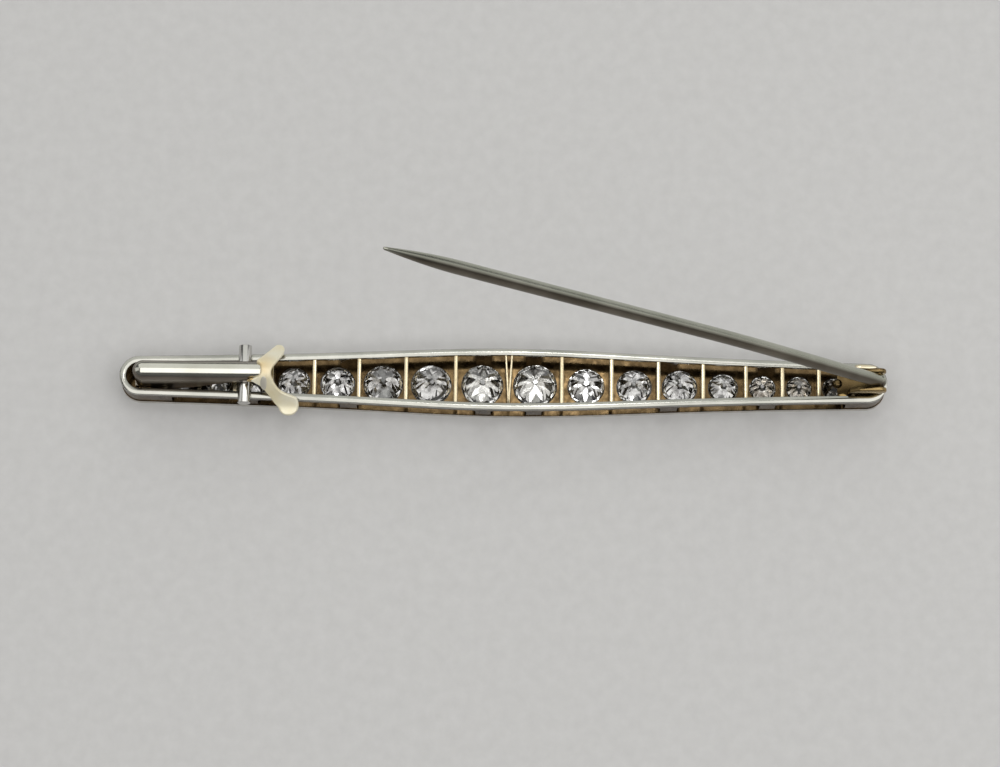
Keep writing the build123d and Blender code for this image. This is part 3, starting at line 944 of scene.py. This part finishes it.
left_curve = smooth_curve(disc_arc(FAR_DISC, 90, 145) + LEFT_EDGE + disc_arc(NEAR_DISC, 195, 270))
right_curve = smooth_curve(disc_arc(FAR_DISC, 90, 0) + RIGHT_EDGE + disc_arc(NEAR_DISC, 40, -90))
far_y = FAR_DISC[0][1] + FAR_DISC[1]
near_y = NEAR_DISC[0][1] - NEAR_DISC[1]
section_count = round((far_y - near_y) / SECTION_STEP)
even_sections = range(TIP_SECTIONS, section_count - TIP_SECTIONS + 1)
levels = [far_y - depth for depth in TIP_DEPTHS]
levels += [between(far_y, near_y, step / section_count) for step in even_sections]
levels += [near_y + depth for depth in reversed(TIP_DEPTHS)]
rings = []
for y in levels:
    left, right = x_at(left_curve, y), x_at(right_curve, y)
    edge = min(THUMB_EDGE, (right - left) / 2)
    from_tip = min(far_y - y, y - near_y, THUMB_EDGE)
    thickness = THUMB_THICK * math.sqrt(1 - (1 - from_tip / THUMB_EDGE) ** 2)
    lean = thumb_slope(y)
    up = Vector((0, -math.sin(lean), math.cos(lean)))
    section = []
    for step in range(EDGE_STEPS + 1):
        angle = math.pi * (step / EDGE_STEPS - 0.5)
        section.append((right - edge + edge * math.cos(angle), math.sin(angle)))
    section += [(between(right - edge, left + edge, step / FLAT_STEPS), 1) for step in range(1, FLAT_STEPS)]
    for step in range(EDGE_STEPS + 1):
        angle = math.pi * (step / EDGE_STEPS + 0.5)
        section.append((left + edge + edge * math.cos(angle), math.sin(angle)))
    section += [(between(left + edge, right - edge, step / FLAT_STEPS), -1) for step in range(1, FLAT_STEPS)]
    middle = thumb_height(y)
    rings.append([Vector((x, y, middle)) + up * (rise * thickness / 2) for x, rise in section])
dress(loft("thumb_fishtail", rings), PALE_GOLD, "cover", "pale_gold", "thumb_piece")

SEAM_RADIUS = 0.07
SEAM_SINK = 0.02
SEAM_START = -68  # degrees from the top of the cover's mouth
SEAM_END = 62
SEAM_LUMPS = 0.3
SEAM_ROUND_STEPS = 6  # the steps over which each end is rounded
SEAM_STEPS = 40
SEAM_SIDES = 12
rings = []
for step in range(SEAM_STEPS + 1):
    angle = math.radians(between(SEAM_START, SEAM_END, step / SEAM_STEPS))
    outward = Vector((0, math.sin(angle), math.cos(angle)))
    centre = Vector((mouth_x, 0, cover_axis_z)) + (cover_radius - SEAM_SINK) * outward
    end = min(step, SEAM_STEPS - step) / SEAM_ROUND_STEPS
    lumpy = 1 + SEAM_LUMPS * math.sin(5 * angle + 1) * math.cos(9 * angle)
    radius = SEAM_RADIUS * lumpy * math.sqrt(max(1 - max(1 - end, 0) ** 2, FLATTEST))
    ring = []
    for side in range(SEAM_SIDES):
        turn = 2 * math.pi * side / SEAM_SIDES
        ring.append(centre + radius * (outward * math.cos(turn) * 0.5 + Vector((math.sin(turn), 0, 0))))
    rings.append(ring)
dress(loft("mouth_seam", rings), RUBBED_GOLD, "cover", "yellow_gold")


def solder(name, centre, size, seed, material, body, slope=0):
    """A small run of solder: a flattened, uneven drop, sloping a number of degrees down on its near side."""
    chooser = random.Random(seed)
    lumps = []
    for _ in range(7):
        way = Vector([chooser.uniform(-1, 1) for _ in range(3)]).normalized()
        lumps.append((way, chooser.uniform(-0.2, 0.2)))
    bm = bmesh.new()
    bmesh.ops.create_icosphere(bm, subdivisions=4, radius=1)
    for vert in bm.verts:
        swell = 1 + sum(amount * max(vert.co.dot(way), 0) ** 3 for way, amount in lumps)
        vert.co = Vector([value * reach * swell for value, reach in zip(vert.co, size)])
    bmesh.ops.rotate(bm, verts=bm.verts, cent=(0, 0, 0), matrix=Matrix.Rotation(math.radians(slope), 3, "X"))
    bmesh.ops.translate(bm, verts=bm.verts, vec=centre)
    dress(from_bmesh(name, bm), material, body, "yellow_gold")


GREY_SPOT_Y = -1.12
grey_place = (-19.85, GREY_SPOT_Y, thumb_height(GREY_SPOT_Y) + 0.21)
solder("thumb_solder_grey", grey_place, (0.29, 0.60, 0.10), 3, GREY_SOLDER, "cover", slope=42)
solder("thumb_solder_gold", (-20.8, -0.86, 4.95), (0.42, 0.13, 0.24), 5, GOLD, "cover")
solder("lug_solder_near", (-29.6, -1.22, 2.36), (0.30, 0.16, 0.16), 7, GOLD, "frame")
solder("lug_solder_end", (-30.35, -1.0, 2.3), (0.22, 0.16, 0.18), 9, GOLD, "frame")
solder("hinge_solder_near", (28.3, -1.0, 2.62), (0.4, 0.16, 0.12), 11, GOLD, "frame")

# ---------------------------------------------------------------- grain on the face that carries the stones
FIELD_Z = 0.12  # how deep the stones' field lies inside the lip
LIP_WIDTH = 0.24
GRAIN_RADIUS = 0.075
GRAIN_STEP = 0.2
BEAD_SIZE = (0.24, 0.24, 0.13)
BEAD_SINK = 0.02
BEAD_CLEARANCE = 0.08
RIDGE_FOOT = 0.12  # half of a ridge's width where it leaves the field, and at its top
RIDGE_CREST = 0.09
RIDGE_DEPTH = 0.06  # how deep a ridge's top lies inside the lip
RIDGE_ROOT = 0.05  # how far a ridge reaches into the field

bm = bmesh.new()
for point in even_steps(inset_line(LIP_WIDTH), GRAIN_STEP):
    add_grain(bm, (point.x, point.y, GRAIN_RADIUS), (GRAIN_RADIUS, GRAIN_RADIUS, GRAIN_RADIUS))
strip_places = [corners(node) for node in sorted(nodes) if node.startswith("cell_bar_")]
for low, high in strip_places:
    x = (low.x + high.x) / 2
    near = edge_point(x, -1).y + LIP_WIDTH
    far = edge_point(x, 1).y - LIP_WIDTH
    for point in even_steps([Vector((x, near)), Vector((x, far))], GRAIN_STEP, closed=False):
        add_grain(bm, (point.x, point.y, GRAIN_RADIUS), (GRAIN_RADIUS, GRAIN_RADIUS, GRAIN_RADIUS))
dress(from_bmesh("millegrain", bm), FRONT_PLATINUM, "frame", "platinum_frame")

bm = bmesh.new()
for low, high in strip_places:
    x = (low.x + high.x) / 2
    near = edge_point(x, -1).y + LIP_WIDTH / 2
    far = edge_point(x, 1).y - LIP_WIDTH / 2
    foot_z = FIELD_Z + RIDGE_ROOT
    ridge = [(x - RIDGE_FOOT, foot_z), (x - RIDGE_CREST, RIDGE_DEPTH)]
    ridge += [(x + RIDGE_CREST, RIDGE_DEPTH), (x + RIDGE_FOOT, foot_z)]
    add_slab(bm, ridge, near, far, lambda px, z, y: Vector((px, y, z)), 0.02)
dress(crisp(from_bmesh("cell_ridges", bm)), FRONT_PLATINUM, "frame", "platinum_frame")

bm = bmesh.new()
for stone_node in stone_nodes:
    low, high = corners(stone_node)
    centre = (low + high) / 2
    reach = (high.x - low.x) / 2 + BEAD_CLEARANCE
    for quarter in range(4):
        angle = math.radians(45 + 90 * quarter)
        place = centre + reach * Vector((math.cos(angle), math.sin(angle), 0))
        add_grain(bm, (place.x, place.y, BEAD_SIZE[2] + BEAD_SINK), BEAD_SIZE, steps=3)
dress(from_bmesh("setting_beads", bm), FRONT_PLATINUM, "frame", "platinum_frame")

# ---------------------------------------------------------------- floor, light and camera
FLOOR_SIZE = 1600
bm = bmesh.new()
bmesh.ops.create_grid(bm, x_segments=1, y_segments=1, size=FLOOR_SIZE / 2)
floor = from_bmesh("floor", bm)
floor_shader = Shader("pale_floor")
floor_shader.set(Roughness=0.9, Specular_IOR_Level=0.1)
grain = floor_shader.noise(900, detail=6)
pale = floor_shader.ramp(grain, [(0.3, (0.60, 0.595, 0.59)), (0.7, (0.64, 0.635, 0.63))])
floor_shader.link(pale, "Base Color")
floor_shader.bump(grain, 0.2, 0.00005)
floor.data.materials.append(floor_shader.material)

BAR_CENTRE = Vector((0, 0, 0.003))


def softbox(name, lean_far, lean_right, distance, width, height, radiance, colour, shift=0.0):
    """A panel of even light that faces the bar, leaning a number of degrees away from straight above it.

    Sizes, the distance and the sideways shift are in metres.
    """
    away = Vector((math.tan(math.radians(lean_right)), math.tan(math.radians(lean_far)), 1)).normalized()
    lamp = bpy.data.lights.new(name, "AREA")
    lamp.shape = "RECTANGLE"
    lamp.size = width
    lamp.size_y = height
    lamp.energy = radiance * math.pi * width * height
    lamp.color = colour
    holder = bpy.data.objects.new(name, lamp)
    holder.location = BAR_CENTRE + away * distance + Vector((shift, 0, 0))
    holder.rotation_euler = away.to_track_quat("Z", "Y").to_euler()
    bpy.context.scene.collection.objects.link(holder)


softbox("overhead", -12, 0, 0.46, 0.74, 0.45, 1.60, (1.0, 0.99, 0.975), shift=0.13)
softbox("far_panel", 45, 0, 0.60, 1.00, 0.70, 0.75, (0.99, 1.0, 0.965))
softbox("left_panel", 8, -66, 0.62, 0.34, 0.60, 0.60, (1.0, 1.0, 0.99))
softbox("right_panel", 8, 66, 0.62, 0.44, 0.60, 0.60, (1.0, 1.0, 0.985))
softbox("lamp", 14.6, 0, 0.44, 0.032, 0.027, 14, (1.0, 1.0, 1.0), shift=0.011)

world = bpy.data.worlds.new("studio")
world.use_nodes = True
backdrop = world.node_tree.nodes["Background"]
backdrop.inputs["Color"].default_value = (0.80, 0.80, 0.79, 1)
backdrop.inputs["Strength"].default_value = 0.16
bpy.context.scene.world = world
bpy.context.scene.view_settings.view_transform = "Standard"

CAMERA_ELEVATION = 75.37
CAMERA_DISTANCE = 0.300
CAMERA_ROLL = 0.635
camera_data = bpy.data.cameras.new("camera")
camera_data.sensor_width = 36
camera_data.lens = 129.5
camera_data.clip_start = 0.01
camera_data.clip_end = 10
camera = bpy.data.objects.new("camera", camera_data)
bpy.context.scene.collection.objects.link(camera)
camera_target = Vector((-0.28, -0.41, 3.0)) * MM
elevation = math.radians(CAMERA_ELEVATION)
camera.location = camera_target + CAMERA_DISTANCE * Vector((0, -math.cos(elevation), math.sin(elevation)))
facing = Matrix.Rotation(math.pi / 2 - elevation, 4, "X") @ Matrix.Rotation(math.radians(CAMERA_ROLL), 4, "Z")
camera.rotation_euler = facing.to_euler()
bpy.context.scene.camera = camera
